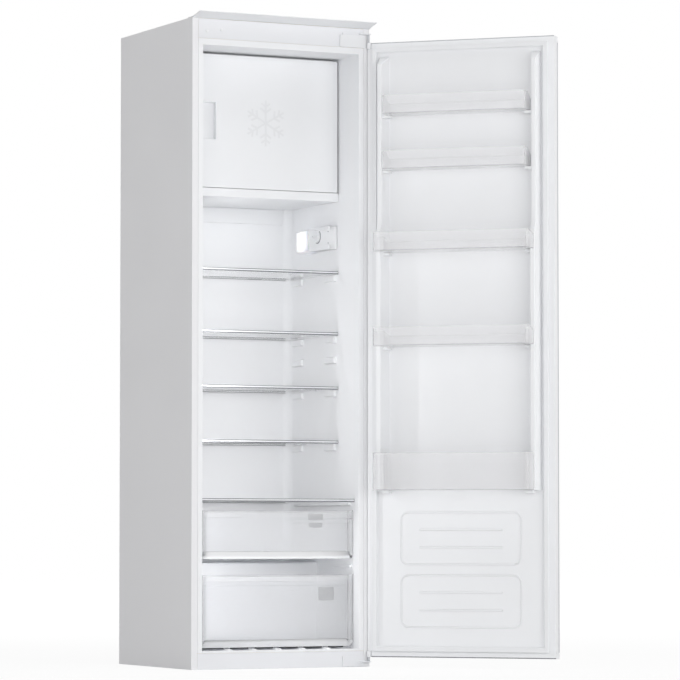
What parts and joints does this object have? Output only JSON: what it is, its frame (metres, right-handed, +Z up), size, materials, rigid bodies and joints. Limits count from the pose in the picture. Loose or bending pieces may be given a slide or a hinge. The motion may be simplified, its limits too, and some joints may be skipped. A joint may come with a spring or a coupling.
{
  "type": "built-in refrigerator",
  "caption": "Tall built-in refrigerator with an open door, door bins, glass shelves, crisper drawers and a freezer box with its own door.",
  "frame": {"origin": "middle of the cabinet's footprint, on the floor", "axes": "+X to the right seen from the front, +Y from the front to the back, +Z up; the open front faces -Y"},
  "size_m": [0.9412, 0.916, 1.784],
  "materials": {
    "painted_steel": "satin",
    "white_steel": "satin",
    "galvanised_steel": "satin",
    "foam": "matte",
    "white_polystyrene": "satin",
    "white_plastic": "satin",
    "aluminium": "satin",
    "gasket": "matte",
    "opal_plastic": "satin",
    "circuit_board": "matte",
    "shelf_trim": "satin",
    "shelf_glass": "gloss",
    "clear_plastic": "gloss",
    "grey_plastic": "satin",
    "black_steel": "satin",
    "black_plastic": "satin",
    "copper": "satin"
  },
  "bodies": {
    "cabinet": {"side_panel_left": "painted_steel", "side_panel_right": "painted_steel", "top_panel": "painted_steel", "base_pan": "galvanised_steel", "front_rail_top": "white_steel", "front_rail_bottom": "white_steel", "rear_panel": "galvanised_steel", "foam_surround": "foam", "foam_back": "foam", "foam_base": "foam", "inner_liner": "white_polystyrene", "top_trim": "white_plastic", "hinge_cover": "white_plastic", "hinge_bracket_top": "galvanised_steel", "hinge_bracket_bottom": "galvanised_steel", "blanking_plug_a": "white_plastic", "blanking_plug_b": "white_plastic", "freezer_box": "aluminium", "freezer_floor": "white_polystyrene", "freezer_frame": "white_polystyrene", "thermostat_housing": "white_plastic", "lamp_diffuser": "opal_plastic", "lamp_board": "circuit_board", "crisper_cover_frame": "shelf_trim", "crisper_cover_glass": "shelf_glass", "drain_tube": "white_plastic", "fridge_evaporator": "aluminium", "compressor": "black_steel", "terminal_box": "black_plastic", "evaporating_tray": "black_plastic", "condenser_coil": "black_steel", "condenser_frame": "black_plastic", "filter_drier": "copper"},
    "main_door": {"door_skin": "painted_steel", "door_foam": "foam", "door_liner": "white_polystyrene", "door_gasket": "gasket", "door_cap_top": "white_plastic", "door_cap_bottom": "white_plastic"},
    "bin_1_body": {"door_bin_1": "clear_plastic"},
    "bin_2_body": {"door_bin_2": "clear_plastic"},
    "bin_3_body": {"door_bin_3": "clear_plastic"},
    "bin_4_body": {"door_bin_4": "clear_plastic"},
    "bottle_bin_body": {"bottle_bin": "clear_plastic"},
    "freezer_door": {"freezer_door_panel": "white_polystyrene", "freezer_door_core": "white_polystyrene", "freezer_door_gasket": "gasket"},
    "shelf_1": {"shelf_1_frame": "shelf_trim", "shelf_1_glass": "shelf_glass"},
    "shelf_2": {"shelf_2_frame": "shelf_trim", "shelf_2_glass": "shelf_glass"},
    "shelf_3": {"shelf_3_frame": "shelf_trim", "shelf_3_glass": "shelf_glass"},
    "shelf_4": {"shelf_4_frame": "shelf_trim", "shelf_4_glass": "shelf_glass"},
    "upper_drawer_body": {"upper_drawer": "clear_plastic", "upper_drawer_pad": "grey_plastic"},
    "lower_drawer_body": {"lower_drawer": "clear_plastic", "lower_drawer_pad": "grey_plastic"},
    "knob": {"thermostat_knob": "white_plastic"}
  },
  "joints": [
    {"name": "main_door_hinge", "type": "hinge", "parent": "cabinet", "child": "main_door", "pos_m": [0.264, -0.2551, 0.88], "axis": [0, 0, 1], "range_deg": [-135, 0]},
    {"name": "bin_1_lift", "type": "slide", "parent": "main_door", "child": "bin_1_body", "axis": [0, 0, 1], "range_m": [0, 0.03]},
    {"name": "bin_2_lift", "type": "slide", "parent": "main_door", "child": "bin_2_body", "axis": [0, 0, 1], "range_m": [0, 0.03]},
    {"name": "bin_3_lift", "type": "slide", "parent": "main_door", "child": "bin_3_body", "axis": [0, 0, 1], "range_m": [0, 0.03]},
    {"name": "bin_4_lift", "type": "slide", "parent": "main_door", "child": "bin_4_body", "axis": [0, 0, 1], "range_m": [0, 0.03]},
    {"name": "bottle_bin_lift", "type": "slide", "parent": "main_door", "child": "bottle_bin_body", "axis": [0, 0, 1], "range_m": [0, 0.03]},
    {"name": "freezer_door_hinge", "type": "hinge", "parent": "cabinet", "child": "freezer_door", "pos_m": [0.231, -0.1185, 1.5], "axis": [0, 0, 1], "range_deg": [0, 80]},
    {"name": "shelf_1_slide", "type": "slide", "parent": "cabinet", "child": "shelf_1", "axis": [0, -1, 0], "range_m": [0, 0.18]},
    {"name": "shelf_2_slide", "type": "slide", "parent": "cabinet", "child": "shelf_2", "axis": [0, -1, 0], "range_m": [0, 0.18]},
    {"name": "shelf_3_slide", "type": "slide", "parent": "cabinet", "child": "shelf_3", "axis": [0, -1, 0], "range_m": [0, 0.18]},
    {"name": "shelf_4_slide", "type": "slide", "parent": "cabinet", "child": "shelf_4", "axis": [0, -1, 0], "range_m": [0, 0.18]},
    {"name": "upper_drawer_slide", "type": "slide", "parent": "cabinet", "child": "upper_drawer_body", "axis": [0, -1, 0], "range_m": [0, 0.3]},
    {"name": "lower_drawer_slide", "type": "slide", "parent": "cabinet", "child": "lower_drawer_body", "axis": [0, -1, 0], "range_m": [0, 0.2]},
    {"name": "knob_turn", "type": "hinge", "parent": "cabinet", "child": "knob", "pos_m": [0.2107, -0.0415, 1.2035], "axis": [-1, 0, 0], "range_deg": [-140, 140]}
  ]
}
